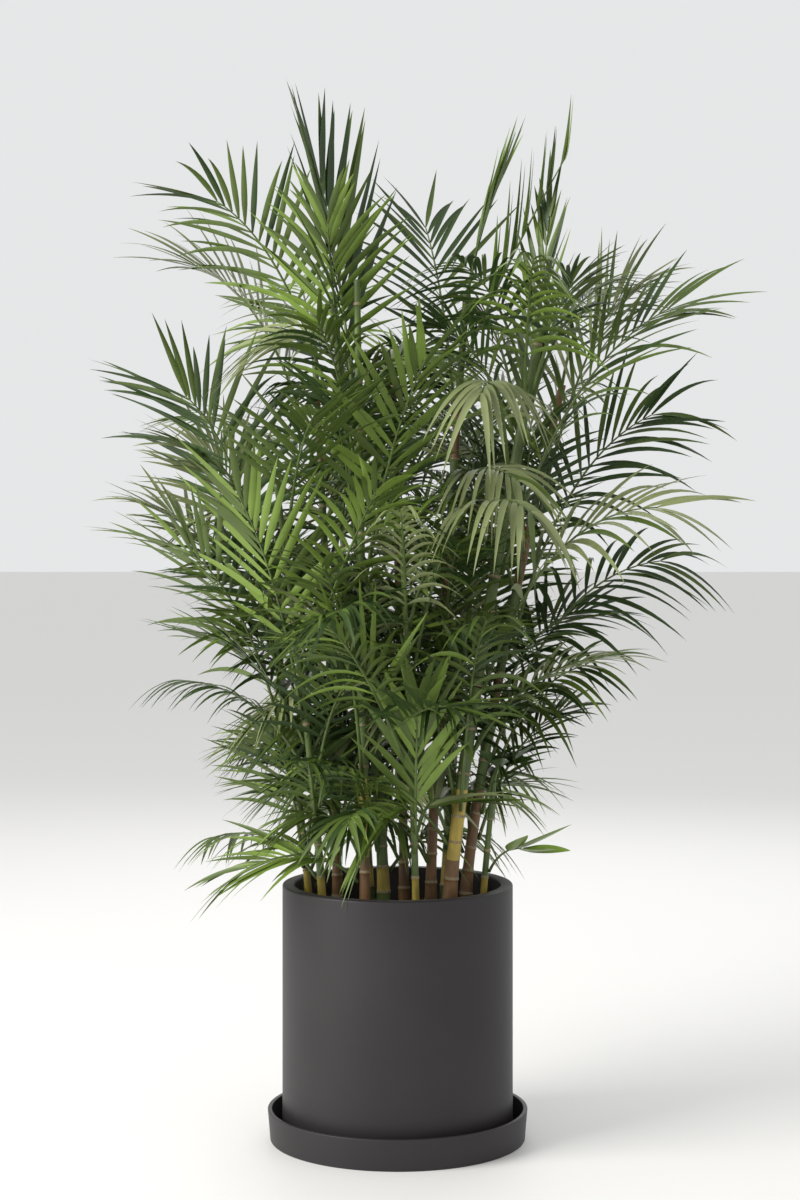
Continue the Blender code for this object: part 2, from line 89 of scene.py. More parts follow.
# Loose chips of bark on the soil: boxes with their corners drawn in
CHIPS = 420
CHIP_SPREAD = 0.97
CHIP_TILT = 0.5
CHIP_LENGTHS = (0.004, 0.013)
CHIP_WIDTHS = (0.003, 0.007)
CHIP_HEIGHTS = (0.0015, 0.003)
CHIP_CORNERS = (0.55, 1.0)
BOX_CORNERS = [(x, y, z) for z in (-1, 1) for x, y in ((-1, -1), (1, -1), (1, 1), (-1, 1))]
BOX_FACES = [[0, 3, 2, 1], [4, 5, 6, 7], [0, 1, 5, 4], [1, 2, 6, 5], [2, 3, 7, 6], [3, 0, 4, 7]]

# Canes, as the part has them
CANE_SEGMENTS = 7
CANE_FOOT_SHARE = 0.10
CANE_UPRIGHT_SHARE = 0.03
CANE_LEAN_POWER = 1.25
CANE_TAPER = 0.35
CANE_FLARE = 0.25
CANE_FLARE_SHARE = 0.08
CANE_SIDES = 8
CANE_CLEARANCE = 0.0006

# The canes' relief: swollen rings between the internodes, which grow longer towards the top
BARK_SIDES = 16
BARK_STEP = 0.006
BARK_SHARE = 0.97
BARK_SUNK = 0.004
LEAN_STEP = 0.01
FIRST_RING = (0.012, 0.03)
LAST_RING_BELOW_TOP = 0.02
INTERNODE = (0.050, 0.095)
INTERNODE_AT_FOOT = 0.55
INTERNODE_GROWTH = 0.9
RING_SWELL = 0.0011
RING_REACH = 0.0035
RING_CREST = 0.0008
RING_TINT_REACH = 0.0012

# The canes' bands of colour
BROWN_FOOT_SHARE = 0.10
YELLOW_BAND_SHARE = 0.22
BROWN_INTERNODES = 4
BROWN_EVERY = 3

# Ribs, as the part has them
RIB_WIDTH = 0.0070
BLADE_THICKNESS = 0.0034
BARE_SHARE = 0.30
SHOOT_BARE_SHARE = 0.70
SHOOT_PAIRS = 2
CREST_SHARES = (0.35, 0.50, 0.65)
ROLL_FULL_SHARE = 0.5
SHARE_STEP = 0.01
RIB_RODS = 8
RIB_SAMPLES = 16
LEAN_ALLOWANCE = 1.04
RIB_CLEARANCE = 0.0060
RIB_TURNS = [0] + [sign * step for step in range(2, 91, 2) for sign in (1, -1)]

# The ribs' fine shape
RIB_SIDES = 6
RIB_STEPS = 18
RIB_ROOT_RADIUS = 0.0030
RIB_TIP_RADIUS = 0.0009
SHOOT_RIB_SCALE = 0.8

# Leaflets: lengths and directions as the part has them
LEAFLET_END_LENGTH = 0.72
SWELL_AT_FOOT = 0.15
SWELL_PACE = 1.05
LENGTH_LOST = 0.06
LEAFLET_RISE = 14
OPENING_LOST = 0.62

# The leaflets' fine shape, with the shoot's leaves wider, and how loosely they grow
LEAFLET_STEPS = 9
LEAFLET_FOLD = 0.34
LEAFLET_FOOT_WIDTH = 0.30
LEAFLET_WIDEST = 0.30
LEAFLET_TIP_POWER = 1.7
LEAFLET_ROOT = 0.0012
LEAFLET_TILTS = (0, 10, -10, 20, -20)
LEAFLET_SLIMNESS = 0.80
SHOOT_LEAFLET_WIDTH = 0.028
EXTRA_PAIRS = 4
LOOSE_PLACE = 0.15
LOOSE_ANGLE = 6
LOOSE_LENGTH = 0.10
LOOSE_DROOP = 0.22
LOOSE_DROOP_SHARES = (-0.3, 1.0)
LOOSE_TWIST = 0.5
OWN_TINT_SHARE = 0.72

# Fronds inside the crown, besides those that the part has
INNER_FRONDS = 170
INNER_HEIGHTS = (0.41, 1.22)
INNER_BELOW_TOP = 0.08
INNER_LOWNESS = 1.35
INNER_SCATTER = 20
INNER_REACH = (0.09, 0.23)
INNER_RISE = (0.02, 0.28)
INNER_ARCH = 0.06
INNER_ROLL = 30
INNER_LEAFLETS = (0.14, 0.22)
INNER_WIDTHS = (0.009, 0.012)
INNER_OPENINGS = (50, 68)
INNER_DROOPS = (0.05, 0.80)
INNER_PAIRS = 9
# The inner fronds' tints, the bright yellow-green among them painted backlight
INNER_TINTS = ("dark", "dark", "mid", "mid", "mid", "fresh", "pale")
INNER_SEED = 23
INNER_TURNS = range(0, 91, 9)

# Seed of the soil's chips, of the canes' rings and of the leaflets' looseness
FINE_SEED = 11

# The photograph's view: a level camera on the pot's side, its picture shifted down
CAMERA_PLACE = (0.0037, -3.755, 0.994)
CAMERA_LENS = 72
CAMERA_FILM = 36
CAMERA_SHIFT = -0.0823

Cane = namedtuple("Cane", "foot top radius colour")
Frond = namedtuple("Frond", "cane height tip arch roll leaflet width opening droop pairs tint")

# Each cane: its foot (x, y) in the soil, its top (x, y, z), its radius at the foot and its colour
CANES = {
    "cane_01": Cane((-0.140, 0.010), (-0.245, 0.030, 1.08), 0.0058, "green"),
    "cane_02": Cane((-0.116, -0.055), (-0.185, -0.140, 1.02), 0.0065, "green"),
    "cane_03": Cane((-0.096, 0.070), (-0.140, 0.180, 1.28), 0.0078, "brown"),
    "cane_04": Cane((-0.050, -0.080), (-0.062, -0.120, 1.33), 0.0078, "yellow"),
    "cane_05": Cane((-0.022, 0.010), (-0.105, -0.020, 1.32), 0.0095, "green"),
    "cane_06": Cane((0.010, 0.095), (-0.010, 0.190, 1.26), 0.0078, "brown"),
    "cane_07": Cane((0.028, -0.105), (0.005, -0.185, 0.95), 0.0058, "green"),
    "cane_08": Cane((0.052, 0.015), (0.110, 0.000, 1.32), 0.0084, "brown"),
    "cane_09": Cane((0.080, -0.070), (0.225, -0.080, 1.26), 0.0110, "yellow"),
    "cane_10": Cane((0.108, 0.035), (0.270, 0.090, 1.18), 0.0092, "brown"),
    "cane_11": Cane((-0.045, 0.122), (-0.105, 0.300, 1.02), 0.0065, "green"),
    "cane_12": Cane((0.132, -0.030), (0.150, -0.045, 0.56), 0.0058, "green"),
    "cane_13": Cane((0.076, 0.105), (0.150, 0.270, 1.10), 0.0072, "green"),
}
SHOOT_CANE = "cane_12"

# Each frond that shows from the front: its cane, the height where it leaves it, the tip of its rib,
# how far the rib arches above its chord, how far the blade rolls about it, the longest leaflet's length and
# width, how far the leaflets open at the blade's foot, how much they droop, the pairs and the tint
SHOWN_FRONDS = {
    "frond_left_1": Frond("cane_05", 1.04, (-0.275, -0.11, 1.45), 0.13, 26, 0.235, 0.012, 72, 0.1, 13, "mid"),
    "frond_left_2": Frond("cane_03", 1.04, (-0.315, 0.08, 1.365), 0.12, -26, 0.27, 0.01, 66, 0.14, 11, "pale"),
    "frond_left_3": Frond("cane_01", 0.82, (-0.325, -0.08, 1.155), 0.1, 22, 0.27, 0.012, 68, 0.1, 13, "dark"),
    "frond_left_4": Frond("cane_01", 0.7, (-0.31, 0.12, 1.045), 0.1, -30, 0.23, 0.01, 64, 0.12, 10, "pale"),
    "frond_left_5": Frond("cane_02", 0.66, (-0.235, -0.19, 1.0), 0.05, 20, 0.22, 0.015, 50, 0.04, 8, "fresh"),
    "frond_left_6": Frond("cane_01", 0.54, (-0.325, -0.08, 0.92), 0.12, 20, 0.275, 0.012, 68, 0.12, 12, "mid"),
    "frond_left_7": Frond("cane_03", 0.52, (-0.25, 0.02, 0.79), 0.1, -40, 0.22, 0.01, 66, 0.35, 9, "mid"),
    "frond_left_8": Frond("cane_01", 0.42, (-0.19, -0.06, 0.63), 0.05, 20, 0.18, 0.01, 66, 0.16, 9, "mid"),
    "frond_top_1": Frond("cane_04", 1.12, (-0.118, -0.06, 1.485), 0.03, 10, 0.31, 0.017, 34, 0.02, 8, "dark"),
    "frond_top_2": Frond("cane_05", 1.14, (-0.085, -0.16, 1.41), 0.05, 0, 0.2, 0.013, 50, 0.04, 10, "fresh"),
    "frond_top_3": Frond("cane_08", 1.12, (0.045, 0.14, 1.44), 0.05, 0, 0.22, 0.011, 60, 0.06, 9, "dark"),
    "frond_top_4": Frond("cane_08", 1.32, (0.155, 0.0, 1.481), 0.01, 0, 0.19, 0.014, 16, 0.0, 6, "fresh"),
    "frond_right_1": Frond("cane_08", 1.22, (0.256, -0.06, 1.519), -0.02, 0, 0.13, 0.016, 10, -2.5, 3, "fresh"),
    "frond_right_2": Frond("cane_09", 1.0, (0.235, -0.04, 1.435), 0.02, 20, 0.17, 0.012, 26, 0.0, 9, "mid"),
    "frond_right_3": Frond("cane_10", 0.96, (0.355, 0.06, 1.32), 0.1, 40, 0.26, 0.009, 52, 0.14, 11, "pale"),
    "frond_right_4": Frond("cane_09", 0.88, (0.41, -0.12, 1.285), 0.12, 40, 0.27, 0.011, 60, 0.16, 13, "mid"),
    "frond_right_5": Frond("cane_10", 0.76, (0.4, 0.01, 1.13), 0.12, 50, 0.26, 0.011, 64, 0.2, 12, "dark"),
    "frond_right_6": Frond("cane_09", 0.7, (0.385, -0.2, 0.985), 0.14, 30, 0.26, 0.014, 60, 0.3, 8, "pale"),
    "frond_right_7": Frond("cane_10", 0.58, (0.415, 0.03, 0.9), 0.14, 45, 0.23, 0.011, 64, 0.45, 10, "dark"),
    "frond_right_8": Frond("cane_10", 0.5, (0.29, -0.04, 0.74), 0.09, 50, 0.19, 0.01, 70, 0.45, 9, "mid"),
    "frond_front_1": Frond("cane_09", 1.02, (0.12, -0.3, 1.15), 0.14, 0, 0.22, 0.013, 60, 0.9, 8, "pale"),
    "frond_front_2": Frond("cane_08", 0.82, (0.19, -0.32, 0.98), 0.15, 0, 0.23, 0.013, 60, 0.9, 8, "pale"),
    "frond_front_3": Frond("cane_04", 0.86, (0.04, -0.24, 1.2), 0.05, 0, 0.23, 0.014, 56, 0.08, 10, "fresh"),
    "frond_front_4": Frond("cane_05", 0.8, (-0.09, -0.23, 1.15), 0.07, 0, 0.23, 0.011, 66, 0.2, 10, "dark"),
    "frond_front_5": Frond("cane_04", 0.58, (-0.11, -0.28, 0.9), 0.1, 0, 0.22, 0.011, 66, 0.4, 9, "mid"),
    "frond_front_6": Frond("cane_07", 0.46, (0.03, -0.18, 0.69), 0.03, 0, 0.18, 0.016, 40, 0.04, 7, "fresh"),
    "frond_front_7": Frond("cane_09", 0.52, (0.13, -0.26, 0.82), 0.1, 0, 0.21, 0.012, 64, 0.6, 8, "mid"),
    "frond_shoot_1": Frond("cane_12", 0.42, (0.19, -0.08, 0.462), 0.02, 0, 0.13, 0.018, 30, 0.02, 2, "fresh"),
    "frond_shoot_2": Frond("cane_12", 0.56, (0.16, -0.07, 0.59), 0.01, 0, 0.11, 0.018, 40, 0.04, 2, "dark"),
}

# The fronds behind follow one another round their canes by the golden angle
BACK_CANES = ("cane_06", "cane_13", "cane_03", "cane_11", "cane_10")
BACK_FRONDS = 15
BACK_AZIMUTHS = (12, 168)
GOLDEN_TURN = 137.5
BACK_LOWEST = 0.56
BACK_BELOW_TOP = 0.05
BACK_REACH = (0.18, 0.25)
BACK_RISE = (0.22, 0.32)
BACK_RISE_LOST = 0.30
BACK_ARCH = 0.10
BACK_ROLL = 30
BACK_DROOP = (0.10, 0.40)
BACK_LEAFLET = (0.220, 0.011)
BACK_OPENING = 66
BACK_PAIRS = 9
BACK_SEED = 7

# The leaflets' tints. The brightest, a yellow-green, is painted backlight: a base colour that stands in for
# light shining through the leaflets.
LEAF_COLOURS = {
    "dark": (0.029, 0.057, 0.012),
    "mid": (0.074, 0.115, 0.020),
    "fresh": (0.150, 0.230, 0.036),
    "pale": (0.200, 0.235, 0.100),
}
NEAR_TINTS = {"dark": ("mid",), "mid": ("dark", "fresh"), "fresh": ("mid",), "pale": ("mid", "pale")}
CANE_COLOURS = {
    "green": (0.085, 0.130, 0.028),
    "yellow": (0.400, 0.300, 0.050),
    "brown": (0.165, 0.088, 0.034),
}
RING_COLOUR = (0.27, 0.22, 0.12)
RING_DARKEST = (0.15, 0.11, 0.05)
RING_PALEST = (0.34, 0.28, 0.16)
RING_ROUGHNESS = 0.6
POT_COLOUR = (0.023, 0.020, 0.022)
SOIL_COLOUR = (0.020, 0.014, 0.010)
CHIP_COLOUR = (0.075, 0.042, 0.022)

# How each surface looks: its roughness and gloss, its darkest and palest shade as factors of its colour, the
# noise that deals out the shades, and the noise, depth and strength of its relief
Noise = namedtuple("Noise", "scale stretch detail")
Look = namedtuple("Look", "roughness gloss shades patches relief depth strength")
EVEN = (1, 1, 1)
CANE_BLOTCHES = Noise(60, (1, 1, 0.35), 4)
CANE_FIBRES = Noise(900, (1, 1, 0.05), 4)
RING_GRAIN = Noise(400, EVEN, 4)
SOIL_GRAINS = Noise(160, EVEN, 8)
CHIP_FIBRES = Noise(220, (1, 1, 0.3), 5)
LEAF_LOOK = Look(0.42, 0.38, (0.72, 1.30), Noise(9, EVEN, 4), Noise(260, EVEN, 4), 0.0004, 0.25)
CANE_LOOK = Look(0.45, 0.50, (0.60, 1.35), CANE_BLOTCHES, CANE_FIBRES, 0.0004, 0.5)
POT_LOOK = Look(0.50, 0.36, (0.90, 1.12), Noise(7, EVEN, 6), Noise(700, EVEN, 3), 0.0003, 0.35)
SOIL_LOOK = Look(0.95, 0.50, (0.50, 2.40), SOIL_GRAINS, SOIL_GRAINS, 0.002, 0.8)
CHIP_LOOK = Look(0.90, 0.50, (0.40, 1.50), CHIP_FIBRES, CHIP_FIBRES, 0.001, 0.6)
RAMP_ENDS = (0.3, 0.7)

# The stage: each light's place, size, power and colour
FLOOR_COLOUR = (0.80, 0.79, 0.775)
FLOOR_ROUGHNESS = 0.6
FLOOR_REACH = 30
LIGHTS = {
    "key": ((-3.0, -1.6, 2.4), 2.2, 160, (1.0, 0.98, 0.95)),
    "back": ((0.5, 3.0, 2.6), 2.5, 30, (1.0, 1.0, 1.0)),
}
LIGHT_AIM = (0, 0, 0.8)
WORLD_COLOUR = (0.93, 0.94, 0.945)
WORLD_STRENGTH = 0.85

# Points nearer than this are one, and directions this near to parallel count as parallel
WELD_DISTANCE = 1e-6
NEARLY_PARALLEL = 1e-4


def new_material(name, colour, roughness):
    made = bpy.data.materials.new(name)
    made.use_nodes = True
    shader = made.node_tree.nodes["Principled BSDF"]
    shader.inputs["Base Color"].default_value = (*colour, 1)
    shader.inputs["Roughness"].default_value = roughness
    shader.inputs["Metallic"].default_value = 0
    return made, made.node_tree.nodes, made.node_tree.links, shader


def noise_of(nodes, links, kind):
    """Noise over the object's own coordinates, stretched along an axis by a smaller number there."""
    place = nodes.new("ShaderNodeTexCoord")
    mapping = nodes.new("ShaderNodeMapping")
    mapping.inputs["Scale"].default_value = kind.stretch
    made = nodes.new("ShaderNodeTexNoise")
    made.inputs["Scale"].default_value = kind.scale
    made.inputs["Detail"].default_value = kind.detail
    links.new(place.outputs["Object"], mapping.inputs["Vector"])
    links.new(mapping.outputs["Vector"], made.inputs["Vector"])
    return made.outputs["Fac"]


def shade(nodes, links, shader, value, low, high):
    """Colours the surface between two shades by a value."""
    ramp = nodes.new("ShaderNodeValToRGB")
    for element, position, colour in zip(ramp.color_ramp.elements, RAMP_ENDS, (low, high)):
        element.position = position
        element.color = (*colour, 1)
    links.new(value, ramp.inputs["Fac"])
    links.new(ramp.outputs["Color"], shader.inputs["Base Color"])


def bump(nodes, links, shader, value, depth, strength):
    made = nodes.new("ShaderNodeBump")
    made.inputs["Distance"].default_value = depth
    made.inputs["Strength"].default_value = strength
    links.new(value, made.inputs["Height"])
    links.new(made.outputs["Normal"], shader.inputs["Normal"])


def scaled(colour, factor):
    return tuple(min(1.0, channel * factor) for channel in colour)


def natural_material(name, colour, look):
    """A colour in uneven shades, with a fine relief."""
    made, nodes, links, shader = new_material(name, colour, look.roughness)
    shader.inputs["Specular IOR Level"].default_value = look.gloss
    darkest, palest = look.shades
    patches = noise_of(nodes, links, look.patches)
    shade(nodes, links, shader, patches, scaled(colour, darkest), scaled(colour, palest))
    bump(nodes, links, shader, noise_of(nodes, links, look.relief), look.depth, look.strength)
    return made


def leaf_material(tint):
    return natural_material(f"leaf_{tint}", LEAF_COLOURS[tint], LEAF_LOOK)


def cane_material(tint):
    return natural_material(f"cane_{tint}", CANE_COLOURS[tint], CANE_LOOK)


def ring_material():
    """The pale scars round the canes."""
    made, nodes, links, shader = new_material("cane_ring", RING_COLOUR, RING_ROUGHNESS)
    shade(nodes, links, shader, noise_of(nodes, links, RING_GRAIN), RING_DARKEST, RING_PALEST)
    return made


class Piece:
    """One joined mesh in the making, with a material number for each face."""

    def __init__(self, name, materials):
        self.name = name
        self.materials = materials
        self.vertices = []
        self.faces = []
        self.numbers = []

    def add(self, vertices, faces, number=0):
        first = len(self.vertices)
        self.vertices += vertices
        self.faces += [[first + i for i in face] for face in faces]
        self.numbers += [number] * len(faces)

    def add_rings(self, rings, numbers=None):
        """A skin over rings of equal count, each joined to the next, with both ends closed."""
        sides = len(rings[0])
        numbers = numbers or [0] * (len(rings) - 1)
        faces = [[i, (i + 1) % sides, sides + (i + 1) % sides, sides + i] for i in range(sides)]
        for low, high, number in zip(rings, rings[1:], numbers):
            self.add(low + high, faces, number)
        self.add(rings[0], [list(range(sides - 1, -1, -1))], numbers[0])
        self.add(rings[-1], [list(range(sides))], numbers[-1])

    def finish(self, slot, replaced, smooth=True):
        mesh = bpy.data.meshes.new(self.name)
        mesh.from_pydata(self.vertices, [], self.faces)
        for made in self.materials:
            mesh.materials.append(made)
        mesh.polygons.foreach_set("material_index", self.numbers)
        mesh.polygons.foreach_set("use_smooth", [smooth] * len(self.faces))
        weld(mesh)
        body = bpy.data.objects.new(self.name, mesh)
        bpy.context.scene.collection.objects.link(body)
        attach(body, "root")
        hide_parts(*replaced)


def weld(mesh):
    """Joins the rings' shared points, so that the skin shades smoothly."""
    shape = bmesh.new()
    shape.from_mesh(mesh)
    bmesh.ops.remove_doubles(shape, verts=shape.verts, dist=WELD_DISTANCE)
    shape.to_mesh(mesh)
    shape.free()
    mesh.update()


def ring(centre, along, radius, sides):
    """Points round a centre, in a circle across a direction."""
    across = Vector((0, 1, 0)).cross(along)
    if across.length < NEARLY_PARALLEL:
        across = Vector((1, 0, 0)).cross(along)
    across.normalize()
    other = along.cross(across).normalized()
    turns = [math.tau * i / sides for i in range(sides)]
    return [centre + (across * math.cos(t) + other * math.sin(t)) * radius for t in turns]


def around(radius, angle, height):
    """The point at a distance and an angle round the pot's axis."""
    return Vector((radius * math.cos(angle), radius * math.sin(angle), height))


def rounded_corner(radius, height, start, edge):
    """Points (radius, height) a quarter turn round a corner, from a starting angle in degrees."""
    points = []
    for step in range(EDGE_STEPS + 1):
        angle = math.radians(start - 90 * step / EDGE_STEPS)
        points.append((radius + edge * math.cos(angle), height + edge * math.sin(angle)))
    return points


def turned(name, profile, finish, slot):
    """A smooth body turned from a profile of (radius, height) that starts and ends on the axis."""
    mesh = bpy.data.meshes.new(name)
    vertices = [(radius, 0, height) for radius, height in profile]
    mesh.from_pydata(vertices, [(i, i + 1) for i in range(len(profile) - 1)], [])
    mesh.materials.append(finish)
    body = bpy.data.objects.new(name, mesh)
    bpy.context.scene.collection.objects.link(body)
    screw = body.modifiers.new("Turn", "SCREW")
    screw.steps = TURNED_STEPS
    screw.render_steps = TURNED_STEPS
    screw.use_merge_vertices = True
    screw.merge_threshold = AXIS_MERGE
    screw.use_smooth_shade = True
    split = body.modifiers.new("Edges", "EDGE_SPLIT")
    split.split_angle = math.radians(SHARP_ANGLE)
    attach(body, "root")
    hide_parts(slot)


def make_pot():
    bottom = SAUCER_FLOOR + GAP
    inner = POT_RADIUS - POT_WALL
    edge = POT_EDGE
    profile = [(0, bottom + POT_FLOOR), (inner, bottom + POT_FLOOR)]
    profile += rounded_corner(inner + edge, POT_TOP - edge, 180, edge)
    profile += rounded_corner(POT_RADIUS - edge, POT_TOP - edge, 90, edge)
    profile += rounded_corner(POT_RADIUS - edge, bottom + edge, 0, edge)
    profile += [(0, bottom)]
    turned("pot_smooth", profile, natural_material("pot_clay", POT_COLOUR, POT_LOOK), "pot")


def make_saucer():
    edge = SAUCER_EDGE
    inner_rim = SAUCER_RIM_RADIUS - SAUCER_WALL
    inner_base = SAUCER_BASE_RADIUS - SAUCER_WALL
    profile = [(0, SAUCER_FLOOR), (inner_base, SAUCER_FLOOR)]
    profile += rounded_corner(inner_rim + edge, SAUCER_TOP - edge, 180, edge)
    profile += rounded_corner(SAUCER_RIM_RADIUS - edge, SAUCER_TOP - edge, 90, edge)
    profile += rounded_corner(SAUCER_BASE_RADIUS - edge, edge, 0, edge)
    profile += [(0, 0)]
    turned("saucer_smooth", profile, natural_material("saucer_clay", POT_COLOUR, POT_LOOK), "saucer")


def mound_height(radius):
    """The height of the soil's low mound at a distance from the pot's axis."""
    return SOIL_TOP - SOIL_MOUND * (radius / SOIL_RADIUS) ** MOUND_POWER


def make_soil():
    """A crumbly surface in place of the plug, closed below by a skirt and a bottom."""
    piece = Piece("soil_surface", [natural_material("soil", SOIL_COLOUR, SOIL_LOOK)])
    rows = []
    for index in range(SOIL_RINGS + 1):
        radius = max(SOIL_INNERMOST, SOIL_RADIUS * index / SOIL_RINGS)
        row = []
        for side in range(SOIL_SIDES):
            point = around(radius, math.tau * side / SOIL_SIDES, 0)
            crumbs = noise.fractal(point * CRUMB_SCALE, *CRUMB_NOISE) * CRUMB_HEIGHT
            point.z = mound_height(radius) - SOIL_SUNK + crumbs
            row.append(point)
        rows.append(row)
    rows.append([Vector((p.x, p.y, SOIL_TOP - SOIL_SKIRT)) for p in rows[-1]])
    piece.add_rings(rows[::-1])
    piece.finish("soil", ["soil"])


def make_chips():
    draw = random.Random(FINE_SEED)
    chips = Piece("soil_chips", [natural_material("bark_chip", CHIP_COLOUR, CHIP_LOOK)])
    for _ in range(CHIPS):
        radius = SOIL_RADIUS * CHIP_SPREAD * math.sqrt(draw.random())
        place = around(radius, draw.uniform(0, math.tau), mound_height(radius))
        turn = Matrix.Rotation(draw.uniform(0, math.tau), 3, "Z")
        turn = turn @ Matrix.Rotation(draw.uniform(-CHIP_TILT, CHIP_TILT), 3, "X")
        half = [draw.uniform(*sizes) / 2 for sizes in (CHIP_LENGTHS, CHIP_WIDTHS, CHIP_HEIGHTS)]
        corners = []
        for corner in BOX_CORNERS:
            point = Vector(side * size for side, size in zip(corner, half))
            corners.append(place + turn @ point * draw.uniform(*CHIP_CORNERS))
        chips.add(corners, BOX_FACES)
    chips.finish("soil", ["soil"], smooth=False)


def cane_share(cane, height):
    return (height - SOIL_TOP) / (cane.top[2] - SOIL_TOP)


def cane_centre(cane, height):
    lean = max(0.0, cane_share(cane, height) - CANE_UPRIGHT_SHARE) ** CANE_LEAN_POWER
    x = cane.foot[0] + (cane.top[0] - cane.foot[0]) * lean
    y = cane.foot[1] + (cane.top[1] - cane.foot[1]) * lean
    return Vector((x, y, height))


def cane_radius(cane, height):
    share = cane_share(cane, height)
    flare = CANE_FLARE * max(0.0, 1 - share / CANE_FLARE_SHARE)
    return cane.radius * (1 - CANE_TAPER * share + flare)


def cane_heights(cane):
    """Where the part's cane has its cross-sections."""
    count = CANE_SEGMENTS - 2
    shares = [0, CANE_UPRIGHT_SHARE]
    shares += [CANE_FOOT_SHARE + (1 - CANE_FOOT_SHARE) * i / count for i in range(count + 1)]
    return [SOIL_TOP + (cane.top[2] - SOIL_TOP) * share for share in shares]


def cane_rods(cane):
    heights = cane_heights(cane)
    points = [cane_centre(cane, height) for height in heights]
    radii = [cane_radius(cane, height) for height in heights]
    return [(a, b, max(r, s)) for a, b, r, s in zip(points, points[1:], radii, radii[1:])]


def ring_heights(cane, draw):
    """Where the cane has its rings."""
    heights, height = [], SOIL_TOP + draw.uniform(*FIRST_RING)
    while height < cane.top[2] - LAST_RING_BELOW_TOP:
        heights.append(height)
        growth = INTERNODE_AT_FOOT + INTERNODE_GROWTH * cane_share(cane, height)
        height += draw.uniform(*INTERNODE) * growth
    return heights


def bark_heights(cane, scars):
    """Where the bark has its cross-sections: evenly, and closer at each ring."""
    heights = [SOIL_TOP - BARK_SUNK]
    while heights[-1] + BARK_STEP < cane.top[2]:
        heights.append(heights[-1] + BARK_STEP)
    for scar in scars:
        heights += [scar - RING_REACH, scar - RING_CREST, scar + RING_CREST, scar + RING_REACH]
    return sorted(set(heights)) + [cane.top[2]]


def cane_tint(cane, height, near, scars, names):
    """The number of a cane's colour at a height: its rings are pale, and its kind has its own bands."""
    if near < RING_TINT_REACH:
        return len(names)
    internode = sum(1 for scar in scars if scar < height)
    share = cane_share(cane, height)
    if cane.colour == "yellow":
        if share < BROWN_FOOT_SHARE:
            return names.index("brown")
        return names.index("yellow" if share < YELLOW_BAND_SHARE else "green")
    if cane.colour == "brown":
        brown = internode < BROWN_INTERNODES or internode % BROWN_EVERY == 1
        return names.index("brown" if brown else "green")
    return names.index("yellow" if internode == 1 else "green")


def make_canes():
    """Each cane with its rings, in green, yellow and brown stretches."""
    draw = random.Random(FINE_SEED)
    names = list(CANE_COLOURS)
    finishes = [cane_material(name) for name in names] + [ring_material()]
    for name, cane in CANES.items():
        piece = Piece(f"{name}_bark", finishes)
        scars = ring_heights(cane, draw)
        rings, numbers = [], []
        for height in bark_heights(cane, scars):
            near = min(abs(height - scar) for scar in scars)
            swell = RING_SWELL * max(0.0, 1 - near / RING_REACH)
            radius = cane_radius(cane, height) * BARK_SHARE + swell
            centre = cane_centre(cane, height)
            above = cane_centre(cane, height + LEAN_STEP)
            rings.append(ring(centre, (above - centre).normalized(), radius, BARK_SIDES))
            numbers.append(cane_tint(cane, height, near, scars, names))
        piece.add_rings(rings, numbers[:-1])
        piece.finish(f"cane_{cane.colour}", [name])


def back_fronds():
    """Fronds behind the canes, as the part has them."""
    draw = random.Random(BACK_SEED)
    low, high = BACK_AZIMUTHS
    fronds = {}
    for index in range(BACK_FRONDS):
        name = BACK_CANES[index % len(BACK_CANES)]
        cane = CANES[name]
        share = index / (BACK_FRONDS - 1)
        height = BACK_LOWEST + (cane.top[2] - BACK_BELOW_TOP - BACK_LOWEST) * share
        azimuth = math.radians(low + (GOLDEN_TURN * index) % (high - low))
        out = Vector((math.cos(azimuth), math.sin(azimuth), 0)) * draw.uniform(*BACK_REACH)
        tip = cane_centre(cane, height) + out
        tip.z += draw.uniform(*BACK_RISE) * (1 - BACK_RISE_LOST * share)
        roll = draw.uniform(-BACK_ROLL, BACK_ROLL)
        droop = draw.uniform(*BACK_DROOP)
        tint = draw.choice(("dark", "mid", "mid"))
        fronds[f"frond_back_{index + 1}"] = Frond(
            name, height, tuple(tip), BACK_ARCH, roll, *BACK_LEAFLET, BACK_OPENING, droop, BACK_PAIRS, tint
        )
    return fronds


def inner_fronds():
    """Smaller fronds all round the canes, that fill the crown inside its outline."""
    draw = random.Random(INNER_SEED)
    names = [name for name in CANES if name != SHOOT_CANE]
    low, high = INNER_HEIGHTS
    fronds = {}
    for index in range(INNER_FRONDS):
        name = names[index % len(names)]
        cane = CANES[name]
        highest = min(high, cane.top[2] - INNER_BELOW_TOP)
        height = low + (highest - low) * draw.random() ** INNER_LOWNESS
        azimuth = math.radians(GOLDEN_TURN * index + draw.uniform(-INNER_SCATTER, INNER_SCATTER))
        out = Vector((math.cos(azimuth), math.sin(azimuth), 0)) * draw.uniform(*INNER_REACH)
        tip = cane_centre(cane, height) + out
        tip.z += draw.uniform(*INNER_RISE)
        tint = draw.choice(INNER_TINTS)
        roll = draw.uniform(-INNER_ROLL, INNER_ROLL)
        leaflet = draw.uniform(*INNER_LEAFLETS)
        width = draw.uniform(*INNER_WIDTHS)
        opening = draw.uniform(*INNER_OPENINGS)
        droop = draw.uniform(*INNER_DROOPS)
        fronds[f"inner_{index + 1}"] = Frond(
            name, height, tuple(tip), INNER_ARCH, roll, leaflet, width, opening, droop, INNER_PAIRS, tint
        )
    return fronds


def is_shoot(frond):
    return frond.pairs <= SHOOT_PAIRS


def beside_cane(cane, height):
    """How far from a cane's centre, level, a rib stands just clear of it."""
    return (cane_radius(cane, height) + BLADE_THICKNESS / 2) * LEAN_ALLOWANCE + GAP


